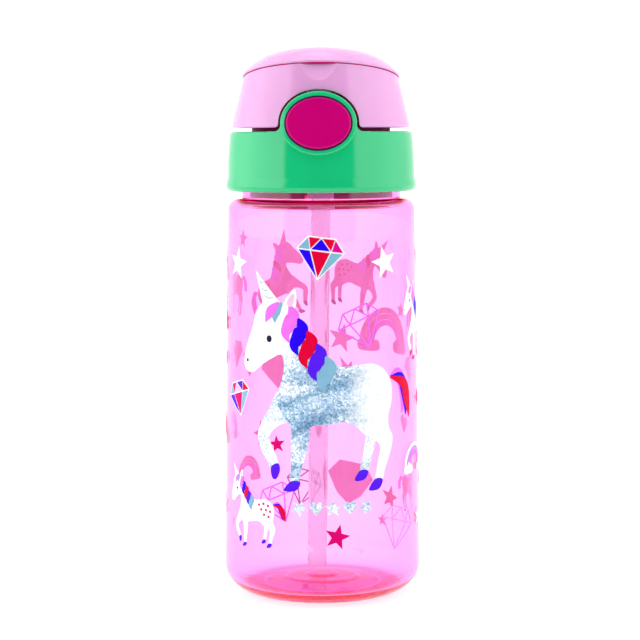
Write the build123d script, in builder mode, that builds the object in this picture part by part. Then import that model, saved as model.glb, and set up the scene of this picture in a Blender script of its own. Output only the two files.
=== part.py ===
"""Kids water bottle with a push-button flip lid.

A tapered see-through bottle carries a screw-on lid.  The lid is a collar with
an oval button housing at the front and a hinge at the back; a sloping cover
flips open over a soft drinking spout with a straw.  Front is -Y, up is +Z, the
origin is on the bottle axis at the level of the table.  All sizes are in mm.
"""
from build123d import *
import math
import os

os.makedirs("parts", exist_ok=True)

# ---------------------------------------------------------------- dimensions

# bottle
foot_radius = 22.5           # outer edge of the flat ring it stands on
body_radius_low = 37.2       # just above the rounded heel
body_radius_high = 35.25     # just below the shoulder
heel_height = 11.2
floor_radius = 28.2          # flat part of the inside floor
floor_height = 4.0
shoulder_start = 145.6
shoulder_top = 150.1
shoulder_round = 4.5
body_wall = 1.9
neck_radius = 29.85
neck_bore = 27.65
neck_rim = 163.2

# screw thread between the neck and the inner cap
thread_pitch = 4.0
thread_turns = 1.5
thread_start = 155.0
neck_thread_height = 1.4
cap_thread_height = 1.3

# collar and inner cap
collar_bottom = 152.8
collar_top = 175.0
collar_bore = 33.35
flange_bore = 26.4
flange_thick = 1.5
cap_bore = 31.7
cap_outside = 33.3
deck_low = 165.0
deck_high = 167.2
plug_inside = 25.7           # sealing skirt inside the neck
plug_outside = 26.9
plug_low = 149.9
plug_notch = 5.2             # half width of the vent notch in its front
hub_outside = 26.0
hub_bore = 24.2
hub_top = 178.4

# oval push button and its housing
button_height = 177.9        # height of the button centre
housing_half_width = 13.9
housing_half_height = 11.55
housing_back = 29.5          # distance of the back end from the axis
hole_half_width = 12.3
hole_half_height = 9.9
button_half_width = 11.9
button_half_height = 9.5
button_travel = 2.5

# flip cover
cover_bottom = 176.4
cover_radius_bottom = 33.75
cover_slope = 0.2486         # loss of radius for each mm of height
cover_wall = 1.8
arch_half_width = 14.75
arch_half_height = 12.4
seam_center_y = 1.32
seam_center_z = 194.56
seam_tilt = math.radians(10.32)
seam_gap = 0.5
roof_low = 2.2               # underside of the cover roof, below the seam
dome_rim = 29.65
dome_height = 10.4
dome_radius = 80.0
dome_joint = 18.5
dome_wall = 1.6

# hinge
hinge_y = 34.4
hinge_z = 176.2
barrel_radius = 2.6
pin_radius = 1.0
knuckle_inner = 5.0
knuckle_outer = 11.8
ear_inner = 12.05
ear_outer = 16.0
coil_radius = 1.6
coil_wire = 0.4

# spout and straw
spout_tip = 188.6
straw_radius = 3.6
straw_wall = 0.6
straw_top = 166.0
straw_bottom = 9.8
straw_lean = 0.8             # degrees, foot of the straw towards -X

seam_plane = Plane(
    origin=(0, seam_center_y, seam_center_z),
    x_dir=(1, 0, 0),
    z_dir=(0, math.sin(seam_tilt), math.cos(seam_tilt)),
)


def cover_radius(height):
    """Outside radius of the cover skirt at a height above the table."""
    return cover_radius_bottom - cover_slope * (height - cover_bottom)


# -------------------------------------------------------------------- bottle

with BuildPart() as bottle:
    with BuildSketch(Plane.XZ) as bottle_section:
        with BuildLine():
            Spline((0, 3.4), (8.0, 3.1), (13.0, 2.4), (17.0, 1.45), (21.0, 0), tangents=((1, 0), (0.9, -0.5)))
            Line((21.0, 0), (foot_radius, 0))
            EllipticalCenterArc(
                (foot_radius, heel_height),
                body_radius_low - foot_radius,
                heel_height,
                start_angle=-90,
                arc_size=90,
            )
            Line((body_radius_low, heel_height), (body_radius_high, shoulder_start))
            ThreePointArc(
                (body_radius_high, shoulder_start),
                (
                    body_radius_high - shoulder_round * (1 - math.sqrt(0.5)),
                    shoulder_top - shoulder_round * (1 - math.sqrt(0.5)),
                ),
                (body_radius_high - shoulder_round, shoulder_top),
            )
            Polyline(
                (body_radius_high - shoulder_round, shoulder_top),
                (neck_radius + 0.5, shoulder_top),
                (neck_radius, shoulder_top + 0.5),
                (neck_radius, neck_rim - 0.4),
                (neck_radius - 0.4, neck_rim),
                (neck_bore + 0.4, neck_rim),
                (neck_bore, neck_rim - 0.4),
                (neck_bore, shoulder_top + 0.3),
            )
            ThreePointArc(
                (neck_bore, shoulder_top + 0.3),
                (neck_bore + 0.75, shoulder_top - 1.25),
                (neck_bore + 2.2, shoulder_top - body_wall),
            )
            Line(
                (neck_bore + 2.2, shoulder_top - body_wall),
                (body_radius_high - shoulder_round, shoulder_top - body_wall),
            )
            ThreePointArc(
                (body_radius_high - shoulder_round, shoulder_top - body_wall),
                (
                    body_radius_high - body_wall - 2.6 * (1 - math.sqrt(0.5)),
                    shoulder_top - body_wall - 2.6 * (1 - math.sqrt(0.5)),
                ),
                (body_radius_high - body_wall, shoulder_start),
            )
            Line(
                (body_radius_high - body_wall, shoulder_start),
                (body_radius_low - body_wall, heel_height),
            )
            EllipticalCenterArc(
                (floor_radius, heel_height),
                body_radius_low - floor_radius - body_wall,
                heel_height - floor_height,
                start_angle=0,
                arc_size=-90,
            )
            # low steps that rise to the middle of the inside floor
            Polyline(
                (floor_radius, floor_height),
                (14.6, floor_height + 1.05),
                (13.0, floor_height + 1.75),
                (6.2, floor_height + 2.25),
                (4.8, floor_height + 2.85),
                (0, floor_height + 2.85),
                (0, 3.4),
            )
        make_face()
    revolve(axis=Axis.Z)
    # raised ribs under the heel
    with PolarLocations(29.0, 36):
        with Locations(Location((0, 0, 1.42), (0, -20.6, 0))):
            Box(3.4, 1.0, 0.8)
    # screw thread on the neck
    with BuildLine() as neck_helix:
        Helix(
            pitch=thread_pitch,
            height=thread_pitch * thread_turns,
            radius=neck_radius,
            center=(0, 0, thread_start),
        )
    with BuildSketch(
        Plane(origin=neck_helix.line @ 0, x_dir=(1, 0, 0), z_dir=neck_helix.line % 0)
    ):
        with BuildLine():
            Polyline(
                (-0.4, -0.95),
                (neck_thread_height, -0.45),
                (neck_thread_height, 0.45),
                (-0.4, 0.95),
                close=True,
            )
        make_face()
    sweep(path=neck_helix.line, is_frenet=True)
bottle.part.label = "bottle"

# ----------------------------------------------------------------- lid gasket

with BuildPart() as lid_gasket:
    with BuildSketch(Plane.XY.offset(neck_rim)):
        Circle(31.0)
        Circle(27.0, mode=Mode.SUBTRACT)
    extrude(amount=deck_low - neck_rim)
lid_gasket.part.label = "lid_gasket"

# ------------------------------------------------------------------ inner cap

with BuildPart() as inner_cap:
    with BuildSketch(Plane.XZ):
        with BuildLine():
            Polyline(
                (8.0, deck_low),
                (plug_inside, deck_low),
                (plug_inside, plug_low),
                (plug_outside - 0.5, plug_low),
                (plug_outside, plug_low + 0.5),
                (plug_outside, deck_low),
                (cap_bore, deck_low),
                (cap_bore, collar_bottom + 1.0),
                (cap_outside, collar_bottom + 1.0),
                (cap_outside, deck_high),
                (hub_outside, deck_high),
                (hub_outside, hub_top - 0.5),
                (hub_outside - 0.5, hub_top),
                (hub_bore + 0.5, hub_top),
                (hub_bore, hub_top - 0.5),
                (hub_bore, deck_high),
                (8.0, deck_high),
                close=True,
            )
        make_face()
    revolve(axis=Axis.Z)
    # vent notch in the front of the plug
    with BuildSketch(Plane.XY.offset(plug_low - 1)):
        with Locations((0, -25)):
            Rectangle(2 * plug_notch, 8)
    extrude(amount=9, mode=Mode.SUBTRACT)
    # front of the hub opened for the latch slider
    with BuildSketch(Plane.XY.offset(deck_high)):
        with Locations((0, -24)):
            Rectangle(20, 12)
    extrude(amount=20, mode=Mode.SUBTRACT)
    # wall that the button spring pushes against
    with BuildSketch(Plane.XY.offset(deck_high - 0.5)):
        with Locations((0, -17.8)):
            Rectangle(31.5, 1.6)
    extrude(amount=hub_top - deck_high - 0.5)
    # peg that centres the button spring
    with BuildSketch(Plane.XZ.offset(18.0)):
        with Locations((0, 173.2)):
            Circle(2.4)
    extrude(amount=1.6)
    # hole for the air valve
    with Locations((0, 17.5, deck_low - 1)):
        Cylinder(2.0, 4, align=(Align.CENTER, Align.CENTER, Align.MIN), mode=Mode.SUBTRACT)
    # thread inside the skirt, half a pitch above the thread of the neck
    with BuildLine() as cap_helix:
        Helix(
            pitch=thread_pitch,
            height=thread_pitch * (thread_turns - 0.1),
            radius=cap_bore,
            center=(0, 0, thread_start + thread_pitch / 2),
        )
    with BuildSketch(
        Plane(origin=cap_helix.line @ 0, x_dir=(1, 0, 0), z_dir=cap_helix.line % 0)
    ):
        with BuildLine():
            Polyline(
                (0.4, -0.95),
                (0.4, 0.95),
                (-cap_thread_height, 0.45),
                (-cap_thread_height, -0.45),
                close=True,
            )
        make_face()
    sweep(path=cap_helix.line, is_frenet=True)
inner_cap.part.label = "inner_cap"

# --------------------------------------------------- oval housing of the button

with BuildPart() as housing_limit:
    with BuildSketch(Plane.XZ):
        with BuildLine():
            Polyline((0, 160), (37.0, 160), (36.4, 166.4), (33.6, 190), (0, 190), close=True)
        make_face()
    revolve(axis=Axis.Z)

with BuildPart() as button_housing:
    with BuildSketch(Plane.XZ.offset(housing_back)):
        with Locations((0, button_height)):
            Ellipse(housing_half_width, housing_half_height)
    extrude(amount=10)
    add(housing_limit.part, mode=Mode.INTERSECT)
    fillet(button_housing.faces().sort_by(Axis.Y)[0].edges(), radius=0.6)
    with Locations((0, 0, 150)):
        Cylinder(
            collar_bore,
            deck_high + 0.25 - 150,
            align=(Align.CENTER, Align.CENTER, Align.MIN),
            mode=Mode.SUBTRACT,
        )

with BuildPart() as web_limit:
    with BuildSketch(Plane.XZ):
        with BuildLine():
            Polyline((31.8, 172), (34.35, 172), (34.2, 180), (31.8, 180), close=True)
        make_face()
    revolve(axis=Axis.Z)

with BuildPart() as housing_web:
    with BuildSketch(Plane.XZ.offset(26)) as web_outline:
        with Locations((0, button_height)):
            Ellipse(housing_half_width, housing_half_height)
        with Locations((0, collar_top - 1.5)):
            Rectangle(38, 3)
        web_corners = [
            corner
            for corner in web_outline.vertices()
            if abs(corner.Y - collar_top) < 0.01 and abs(corner.X) < 15
        ]
        fillet(web_corners, radius=2.4)
    extrude(amount=12)
    add(web_limit.part, mode=Mode.INTERSECT)

# --------------------------------------------------------------------- collar

with BuildPart() as lid_collar:
    with BuildSketch(Plane.XZ):
        with BuildLine():
            Polyline((32.6, collar_bottom), (34.3, collar_bottom))
            ThreePointArc((34.3, collar_bottom), (35.5, 153.5), (35.85, 155.0))
            ThreePointArc((35.85, 155.0), (35.6, 156.5), (35.22, 158.0))
            ThreePointArc((35.22, 158.0), (34.98, 166.0), (34.35, 173.8))
            ThreePointArc((34.35, 173.8), (34.05, 174.6), (33.3, collar_top))
            Polyline(
                (33.3, collar_top),
                (flange_bore, collar_top),
                (flange_bore, collar_top - flange_thick),
                (collar_bore, collar_top - flange_thick),
                (collar_bore, deck_high + 1.4),
                (collar_bore - 0.7, deck_high + 0.7),
                (collar_bore - 0.7, deck_high),
                (collar_bore, deck_high),
                (collar_bore, collar_bottom + 1.0),
                (32.6, collar_bottom + 1.0),
                (32.6, collar_bottom),
            )
        make_face()
    revolve(axis=Axis.Z)
    add(button_housing.part)
    add(housing_web.part)
    # hole for the button and room behind it for the stop plate of the slider
    with BuildSketch(Plane.XZ.offset(22)):
        with Locations((0, button_height)):
            Ellipse(hole_half_width, hole_half_height)
    extrude(amount=20, mode=Mode.SUBTRACT)
    with BuildSketch(Plane.XZ.offset(22)):
        with Locations((0, button_height)):
            Ellipse(13.4, 10.6)
    extrude(amount=housing_back - 22, mode=Mode.SUBTRACT)
    # room for the cover knuckles and the hinge spring
    with Locations(Location((0, hinge_y, hinge_z), (0, 90, 0))):
        Cylinder(barrel_radius + 0.35, 2 * ear_inner, mode=Mode.SUBTRACT)
    # ears that hold the hinge pin
    for side in (-1, 1):
        ear_plane = Plane(origin=(side * ear_inner, 0, 0), x_dir=(0, 1, 0), z_dir=(side, 0, 0))
        with BuildSketch(ear_plane):
            with Locations((hinge_y, side * hinge_z)):
                Circle(barrel_radius)
            with BuildLine():
                Polyline(
                    (hinge_y - barrel_radius, side * hinge_z),
                    (hinge_y + barrel_radius, side * hinge_z),
                    (hinge_y - 0.9, side * (hinge_z - 6.5)),
                    (hinge_y - 4.0, side * (hinge_z - 2.0)),
                    close=True,
                )
            make_face()
        extrude(amount=ear_outer - ear_inner)
    with Locations(Location((0, hinge_y, hinge_z), (0, 90, 0))):
        Cylinder(pin_radius + 0.02, 40, mode=Mode.SUBTRACT)
    # slot for the lower leg of the hinge spring
    with Locations((4.3, hinge_y - coil_radius, collar_top - 3.5)):
        Box(1.3, 1.3, 8.5, mode=Mode.SUBTRACT)
lid_collar.part.label = "lid_collar"

# ------------------------------------------------------------------ hinge pin

with BuildPart() as hinge_pin:
    with Locations(Location((0, hinge_y, hinge_z), (0, 90, 0))):
        Cylinder(pin_radius, 2 * ear_outer - 0.4)
    chamfer(hinge_pin.edges().filter_by(GeomType.CIRCLE), length=0.25)
hinge_pin.part.label = "hinge_pin"

# --------------------------------------------------------------- hinge spring

# wound along its own Z axis first, then laid along the hinge
coil_turns = 9 - 14 / 360
with BuildPart() as hinge_coil:
    with BuildLine() as coil_path:
        Helix(pitch=8.6 / coil_turns, height=8.6, radius=coil_radius)
    with BuildSketch(Plane(origin=coil_path.line @ 0, z_dir=coil_path.line % 0)):
        Circle(coil_wire)
    sweep(path=coil_path.line, is_frenet=True)
    # leg that rests in the cover
    with BuildSketch(Plane(origin=(coil_radius, 0, 0), z_dir=(0, -1, 0))):
        Circle(coil_wire)
    extrude(amount=7.5)
    # leg that rests in the collar
    with BuildSketch(Plane(origin=coil_path.line @ 1, z_dir=(0.2419, 0.9703, 0))):
        Circle(coil_wire)
    extrude(amount=7.5)

spring_plane = Plane(
    origin=(-4.3, hinge_y, hinge_z),
    x_dir=(0, -0.9703, -0.2419),
    z_dir=(1, 0, 0),
)
with BuildPart() as hinge_spring:
    with Locations(spring_plane.location):
        add(hinge_coil.part)
hinge_spring.part.label = "hinge_spring"

# ---------------------------------------------------------------- cover shell

with BuildPart() as cover_hollow:
    with BuildSketch(Plane.XZ):
        with BuildLine():
            Polyline(
                (0, 170),
                (cover_radius(170) - cover_wall, 170),
                (cover_radius(206) - cover_wall, 206),
                (0, 206),
                close=True,
            )
        make_face()
    revolve(axis=Axis.Z)
    split(bisect_by=seam_plane.offset(-roof_low), keep=Keep.BOTTOM)

with BuildPart() as cover_shell:
    with BuildSketch(Plane.XZ):
        with BuildLine():
            Polyline(
                (0, cover_bottom),
                (cover_radius(cover_bottom) - 0.5, cover_bottom),
                (cover_radius(cover_bottom + 0.5), cover_bottom + 0.5),
                (cover_radius(206), 206),
                (0, 206),
                close=True,
            )
        make_face()
    revolve(axis=Axis.Z)
    split(bisect_by=seam_plane.offset(-seam_gap / 2), keep=Keep.BOTTOM)
    add(cover_hollow.part, mode=Mode.SUBTRACT)
    # arch that leaves room for the button housing
    with BuildSketch(Plane.XZ.offset(22)) as arch_outline:
        with Locations((0, button_height)):
            Ellipse(arch_half_width, arch_half_height)
        with Locations((0, button_height - 3)):
            Rectangle(2 * arch_half_width, 6)
        with Locations((0, cover_bottom - 2)):
            Rectangle(42, 4)
        arch_corners = [
            corner
            for corner in arch_outline.vertices()
            if abs(corner.Y - cover_bottom) < 0.01 and abs(corner.X) < 16
        ]
        fillet(arch_corners, radius=1.4)
    extrude(amount=14, mode=Mode.SUBTRACT)
    # catch that the latch slider hooks over
    with BuildSketch(Plane.XY.offset(190.6)):
        with Locations((0, -27.6)):
            Rectangle(10, 3.0)
    extrude(amount=1.0)
    # thicker wall behind the finger scoop, then the scoop itself
    with BuildSketch(Plane.XY.offset(193.6)):
        with Locations((0, -26.9)):
            Rectangle(15, 1.4)
    extrude(amount=4.2)
    with Locations((0, -64.0, 213.7)):
        Sphere(40.0, mode=Mode.SUBTRACT)
    # spigot on the roof that centres the cap
    with BuildSketch(seam_plane.offset(-roof_low + 0.5)):
        Circle(26.4)
        Circle(24.8, mode=Mode.SUBTRACT)
    extrude(amount=roof_low + 0.9)
    # socket under the roof for the spout seal
    with BuildSketch(Plane.XY.offset(189.5)):
        Circle(12.4)
        Circle(10.9, mode=Mode.SUBTRACT)
    extrude(until=Until.NEXT)
    # knuckles around the hinge pin
    for side in (-1, 1):
        knuckle_plane = Plane(
            origin=(side * knuckle_inner, 0, 0), x_dir=(0, 1, 0), z_dir=(side, 0, 0)
        )
        with BuildSketch(knuckle_plane):
            with Locations((hinge_y, side * hinge_z)):
                Circle(barrel_radius)
            with BuildLine():
                Polyline(
                    (hinge_y - 0.4, side * (hinge_z + 2.55)),
                    (hinge_y - 2.2, side * (hinge_z + 6.0)),
                    (hinge_y - 4.0, side * (hinge_z + 6.0)),
                    (hinge_y - 2.5, side * hinge_z),
                    close=True,
                )
            make_face()
        extrude(amount=knuckle_outer - knuckle_inner)
        with Locations(
            Location((side * (ear_inner + ear_outer) / 2, hinge_y, hinge_z), (0, 90, 0))
        ):
            Cylinder(
                barrel_radius + 0.35,
                ear_outer - ear_inner + 0.5,
                mode=Mode.SUBTRACT,
            )
    with Locations(Location((0, hinge_y, hinge_z), (0, 90, 0))):
        Cylinder(pin_radius + 0.07, 40, mode=Mode.SUBTRACT)
        Cylinder(coil_radius + coil_wire + 0.4, 2 * knuckle_inner, mode=Mode.SUBTRACT)
    # groove for the upper leg of the hinge spring
    groove_plane = Plane(origin=(-5.0, 0, 0), x_dir=(0, 1, 0), z_dir=(1, 0, 0))
    with BuildSketch(groove_plane):
        with BuildLine():
            Polyline(
                (hinge_y - 0.9, hinge_z - 0.5),
                (hinge_y - 4.5, hinge_z - 0.5),
                (hinge_y - 6.4, hinge_z + 8.2),
                (hinge_y - 2.95, hinge_z + 8.2),
                close=True,
            )
        make_face()
    extrude(amount=1.3, mode=Mode.SUBTRACT)
cover_shell.part.label = "cover_shell"

# ------------------------------------------------------------------ cover cap

joint_drop = dome_radius - math.sqrt(dome_radius**2 - dome_joint**2)

with BuildPart() as cap_upright:
    with BuildSketch(Plane.XZ):
        with BuildLine():
            crown = ThreePointArc(
                (0, dome_height),
                (
                    dome_joint / 2,
                    dome_height
                    - dome_radius
                    + math.sqrt(dome_radius**2 - (dome_joint / 2) ** 2),
                ),
                (dome_joint, dome_height - joint_drop),
            )
            TangentArc(crown @ 1, (dome_rim, 0.9), tangent=crown % 1)
            Polyline(
                (dome_rim, 0.9),
                (dome_rim, seam_gap / 2 + 0.2),
                (dome_rim - 0.2, seam_gap / 2),
                (27.4, seam_gap / 2),
                (27.4, -seam_gap / 2),
                (26.5, -seam_gap / 2),
                (26.5, 1.3),
            )
            inner_crown = ThreePointArc(
                (0, dome_height - dome_wall),
                (
                    dome_joint / 2,
                    dome_height
                    - dome_wall
                    - dome_radius
                    + math.sqrt(dome_radius**2 - (dome_joint / 2) ** 2),
                ),
                (dome_joint - 0.6, dome_height - dome_wall - joint_drop + 0.15),
            )
            TangentArc(inner_crown @ 1, (26.5, 1.3), tangent=inner_crown % 1)
            Line((0, dome_height - dome_wall), (0, dome_height))
        make_face()
    revolve(axis=Axis.Z)

with BuildPart() as cover_cap:
    with Locations(seam_plane.location):
        add(cap_upright.part)
cover_cap.part.label = "cover_cap"

# ----------------------------------------------------------------- spout seal

with BuildPart() as spout_seal:
    with BuildSketch(Plane.XZ):
        with BuildLine():
            Polyline(
                (0, spout_tip + 0.9),
                (8.9, spout_tip + 0.9),
                (9.3, spout_tip + 0.35),
                (10.3, spout_tip + 0.35),
                (10.8, spout_tip + 0.9),
                (10.8, 199),
                (0, 199),
                close=True,
            )
        make_face()
    revolve(axis=Axis.Z)
    split(bisect_by=seam_plane.offset(-roof_low - 0.02), keep=Keep.BOTTOM)
spout_seal.part.label = "spout_seal"

# ------------------------------------------------------------- release button

with BuildPart() as button_limit:
    with BuildSketch(Plane.XZ):
        with BuildLine():
            Polyline((0, 160), (37.2, 160), (36.75, 166.4), (33.95, 190), (0, 190), close=True)
        make_face()
    revolve(axis=Axis.Z)

with BuildPart() as release_button:
    with BuildSketch(Plane.XZ.offset(30.0)):
        with Locations((0, button_height)):
            Ellipse(button_half_width, button_half_height)
    extrude(amount=10)
    add(button_limit.part, mode=Mode.INTERSECT)
    fillet(release_button.faces().sort_by(Axis.Y)[0].edges(), radius=0.9)
    # shallow dish for the finger
    with Locations((0, -35.2 - 79.55, button_height + 8.5)):
        Sphere(80.0, mode=Mode.SUBTRACT)
    # hollow back
    with BuildSketch(Plane.XZ.offset(30.0)):
        with Locations((0, button_height)):
            Ellipse(button_half_width - 1.6, button_half_height - 1.6)
    extrude(amount=2.4, mode=Mode.SUBTRACT)
release_button.part.label = "release_button"

# --------------------------------------------------------------- latch slider

with BuildPart() as latch_slider:
    # plug pressed into the back of the button
    with BuildSketch(Plane.XZ.offset(29.2)):
        with Locations((0, button_height)):
            Ellipse(button_half_width - 1.65, button_half_height - 1.65)
            Ellipse(button_half_width - 3.6, button_half_height - 3.6, mode=Mode.SUBTRACT)
    extrude(amount=3.1)
    # stop plate behind the housing
    with BuildSketch(Plane.XZ.offset(27.7)):
        with Locations((0, button_height)):
            Ellipse(12.9, 10.25)
    extrude(amount=1.5)
    # arm and beam
    with BuildSketch(Plane.XZ.offset(23.6)):
        with Locations((0, 181.1)):
            Rectangle(9, 24)
    extrude(amount=2.0)
    with BuildSketch(Plane.XZ.offset(25.0)):
        with Locations((0, 176.0)):
            Rectangle(9, 8)
    extrude(amount=3.0)
    # hook
    with BuildSketch(Plane.YZ.offset(-4.5)):
        with BuildLine():
            Polyline((-25.0, 191.9), (-27.0, 191.9), (-27.0, 192.3), (-26.2, 193.1), (-25.0, 193.1), close=True)
        make_face()
    extrude(amount=9)
    # peg that centres the spring
    with BuildSketch(Plane.XZ.offset(22.6)):
        with Locations((0, 173.2)):
            Circle(2.4)
    extrude(amount=1.2)
latch_slider.part.label = "latch_slider"

# -------------------------------------------------------------- button spring

with BuildPart() as spring_coil:
    with BuildLine() as spring_path:
        Helix(pitch=1.05, height=4.2, radius=3.1)
    with BuildSketch(Plane(origin=spring_path.line @ 0, z_dir=spring_path.line % 0)):
        Circle(0.3)
    sweep(path=spring_path.line, is_frenet=True)
    # flat end turns
    for level in (0.0, 4.2):
        with Locations((0, 0, level)):
            Torus(3.1, 0.3)

with BuildPart() as button_spring:
    with Locations(Location((0, -18.95, 173.2), (90, 0, 0))):
        add(spring_coil.part)
button_spring.part.label = "button_spring"

# ---------------------------------------------------------------- straw, spout

straw_plane = Plane(
    origin=(0, 0, 157),
    x_dir=(math.cos(math.radians(straw_lean)), 0, -math.sin(math.radians(straw_lean))),
    z_dir=(math.sin(math.radians(straw_lean)), 0, math.cos(math.radians(straw_lean))),
)

with BuildPart() as straw:
    with BuildSketch(straw_plane.offset(straw_bottom - 157)):
        Circle(straw_radius)
        Circle(straw_radius - straw_wall, mode=Mode.SUBTRACT)
    extrude(amount=straw_top - straw_bottom)
straw.part.label = "straw"

with BuildPart() as spout:
    with BuildSketch(Plane.XZ):
        with BuildLine():
            Polyline(
                (0, 148.6),
                (4.9, 148.6),
                (5.2, 148.9),
                (5.2, 162.4),
                (7.0, 163.4),
                (10.5, 163.4),
                (10.5, deck_low),
                (8.0, deck_low),
                (8.0, deck_high),
                (10.5, deck_high),
                (10.5, deck_high + 1.2),
            )
            Spline(
                (10.5, deck_high + 1.2),
                (9.3, 172.0),
                (7.6, 178.0),
                (6.9, 184.0),
                (5.6, 187.6),
                (3.2, spout_tip),
            )
            Polyline((3.2, spout_tip), (0, spout_tip), (0, 148.6))
        make_face()
    revolve(axis=Axis.Z)
    # bore for the straw, then the drinking channel
    with BuildSketch(straw_plane.offset(-9)):
        Circle(straw_radius + 0.02)
    extrude(amount=straw_top - 157 + 9, mode=Mode.SUBTRACT)
    with BuildSketch(Plane.XY.offset(straw_top - 0.5)):
        Circle(2.9)
    extrude(amount=spout_tip - straw_top - 1.5, mode=Mode.SUBTRACT)
    with BuildSketch(Plane.XY.offset(spout_tip - 3)):
        SlotOverall(4.0, 1.6)
    extrude(amount=4, mode=Mode.SUBTRACT)
spout.part.label = "spout"

# ------------------------------------------------------------------ air valve

with BuildPart() as vent_valve:
    with BuildSketch(Plane.XZ):
        with BuildLine():
            Polyline(
                (0, 162.2),
                (0.8, 162.2),
                (2.0, deck_low - 1.0),
                (3.2, deck_low - 0.9),
                (3.2, deck_low),
                (1.95, deck_low),
                (1.95, deck_high),
                (3.4, deck_high),
                (3.4, deck_high + 0.8),
                (2.9, deck_high + 1.3),
                (0, deck_high + 1.3),
                close=True,
            )
        make_face()
    revolve(axis=Axis.Z)
    with BuildSketch(Plane.XY.offset(deck_low - 0.8)):
        Circle(0.9)
    extrude(amount=6, mode=Mode.SUBTRACT)

with BuildPart() as air_valve:
    with Locations((0, 17.5, 0)):
        add(vent_valve.part)
air_valve.part.label = "air_valve"

# --------------------------------------------------------------------- export

export_step(bottle.part, "parts/bottle.step")
export_step(lid_gasket.part, "parts/lid_gasket.step")
export_step(inner_cap.part, "parts/inner_cap.step")
export_step(lid_collar.part, "parts/lid_collar.step")
export_step(hinge_pin.part, "parts/hinge_pin.step")
export_step(hinge_spring.part, "parts/hinge_spring.step")
export_step(cover_shell.part, "parts/cover_shell.step")
export_step(cover_cap.part, "parts/cover_cap.step")
export_step(spout_seal.part, "parts/spout_seal.step")
export_step(release_button.part, "parts/release_button.step")
export_step(latch_slider.part, "parts/latch_slider.step")
export_step(button_spring.part, "parts/button_spring.step")
export_step(straw.part, "parts/straw.step")
export_step(spout.part, "parts/spout.step")
export_step(air_valve.part, "parts/air_valve.step")
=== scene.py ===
"""Looks for the kids water bottle: materials, printed decoration, light and camera."""
import math

import bmesh
import bpy
from mathutils import Matrix, Vector
from mathutils.geometry import tessellate_polygon


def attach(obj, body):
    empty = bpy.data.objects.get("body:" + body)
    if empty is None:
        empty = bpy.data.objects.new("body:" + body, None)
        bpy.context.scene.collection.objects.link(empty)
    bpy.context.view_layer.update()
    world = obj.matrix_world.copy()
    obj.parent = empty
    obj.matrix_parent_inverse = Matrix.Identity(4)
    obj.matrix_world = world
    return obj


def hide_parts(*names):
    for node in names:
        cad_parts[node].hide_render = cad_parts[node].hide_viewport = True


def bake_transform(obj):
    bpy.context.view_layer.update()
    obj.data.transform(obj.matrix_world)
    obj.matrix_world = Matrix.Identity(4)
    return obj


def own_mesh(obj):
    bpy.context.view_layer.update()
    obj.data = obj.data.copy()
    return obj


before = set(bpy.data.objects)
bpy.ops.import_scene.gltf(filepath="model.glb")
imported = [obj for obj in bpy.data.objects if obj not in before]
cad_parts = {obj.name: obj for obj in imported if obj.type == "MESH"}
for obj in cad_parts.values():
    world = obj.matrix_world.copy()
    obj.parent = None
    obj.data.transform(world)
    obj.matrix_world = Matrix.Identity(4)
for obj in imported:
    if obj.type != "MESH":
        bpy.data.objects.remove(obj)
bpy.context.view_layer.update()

MM = 0.001

# ------------------------------------------------------------------ dimensions (mm)

FOOT_RADIUS = 22.5            # inner end of the rounded heel, on the ring the bottle stands on
LOW_RADIUS = 37.2             # just above the heel
HIGH_RADIUS = 35.25           # just below the shoulder
HEEL = 11.2                   # height of the heel
SHOULDER_START = 145.6
SHOULDER_TOP = 150.1
SHOULDER_ROUND = 4.5
WALL = 1.9
FLOOR_RADIUS = 28.2           # outer edge of the inside floor
FLOOR = 4.0                   # height of the inside floor at that edge
NECK_RADIUS = 29.85
NECK_BORE = 27.65
NECK_RIM = 163.2
RIBS = 36                     # number of low ribs under the heel
RIB_INNER = 27.3              # radii between which the ribs lie
RIB_OUTER = 30.9
RIB_HEIGHT = 0.05

PRINT_RADIUS = 36.4           # radius at which the printed artwork is laid out flat
PRINT_GAP = 0.03              # between the bottle and level 0 of the ink
PRINT_STEP = 0.07             # height of one level of ink
PRINT_THICKNESS = 0.055
PRINT_STRIP = 1.6             # a skin of ink is cut this often, so that it bends round the bottle

COVER_BOTTOM = 176.4          # lower edge of the cover
COVER_RADIUS = 33.75          # radius of the cover at that edge
COVER_SLOPE = 0.2486          # by how much that radius shrinks with each mm of height
SEAM_HEIGHT = 194.56          # height of the sloping seam of the cover, at its middle
SEAM_MIDDLE = 1.32            # y of the middle of the seam
SEAM_TILT = math.radians(10.32)
SEAM_DEPTH = 0.42             # from the surface of the cover to the middle of the seam line
SEAM_THICKNESS = 0.27         # radius of the seam line

BUTTON_HEIGHT = 177.9         # middle of the button
GAP_HALF_WIDTH = 12.12        # oval between the edge of the button and the edge of its hole
GAP_HALF_HEIGHT = 9.72
GAP_DEPTH = 0.12              # from the front of the housing to the middle of the line in the gap
GAP_THICKNESS = 0.3           # radius of that line
HOUSING_LOW = 166.4           # foot of the sloping front of the housing
HOUSING_RADIUS = 36.4         # radius of the front at its foot
HOUSING_RISE = 23.6           # the front rises by this much while it goes back by the next value
HOUSING_RETREAT = 2.8

HINGE = (34.4, 176.2)         # y and z of the hinge axis
HINGE_COIL = 1.6              # radius of the turns of the hinge spring
HINGE_COIL_END = 4.3          # from the middle of the coil to either end
HINGE_COIL_TURNS = 9 - 14 / 360
HINGE_LEG = 7.5               # length of each leg
HINGE_LEG_LEAN = math.radians(14)  # lean of the leg in the cover; the turns above are short by it
HINGE_WIRE = 0.4              # radius of the wire

PRESS_COIL = 3.1              # radius of the turns of the button spring
PRESS_COIL_LENGTH = 4.2
PRESS_COIL_TURNS = 6
PRESS_COIL_CLOSED = 0.08      # share of the wire that is closed up at each end
PRESS_BACK = (-18.95, 173.2)  # y and z of the back end of the button spring
PRESS_WIRE = 0.3              # radius of the wire

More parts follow.
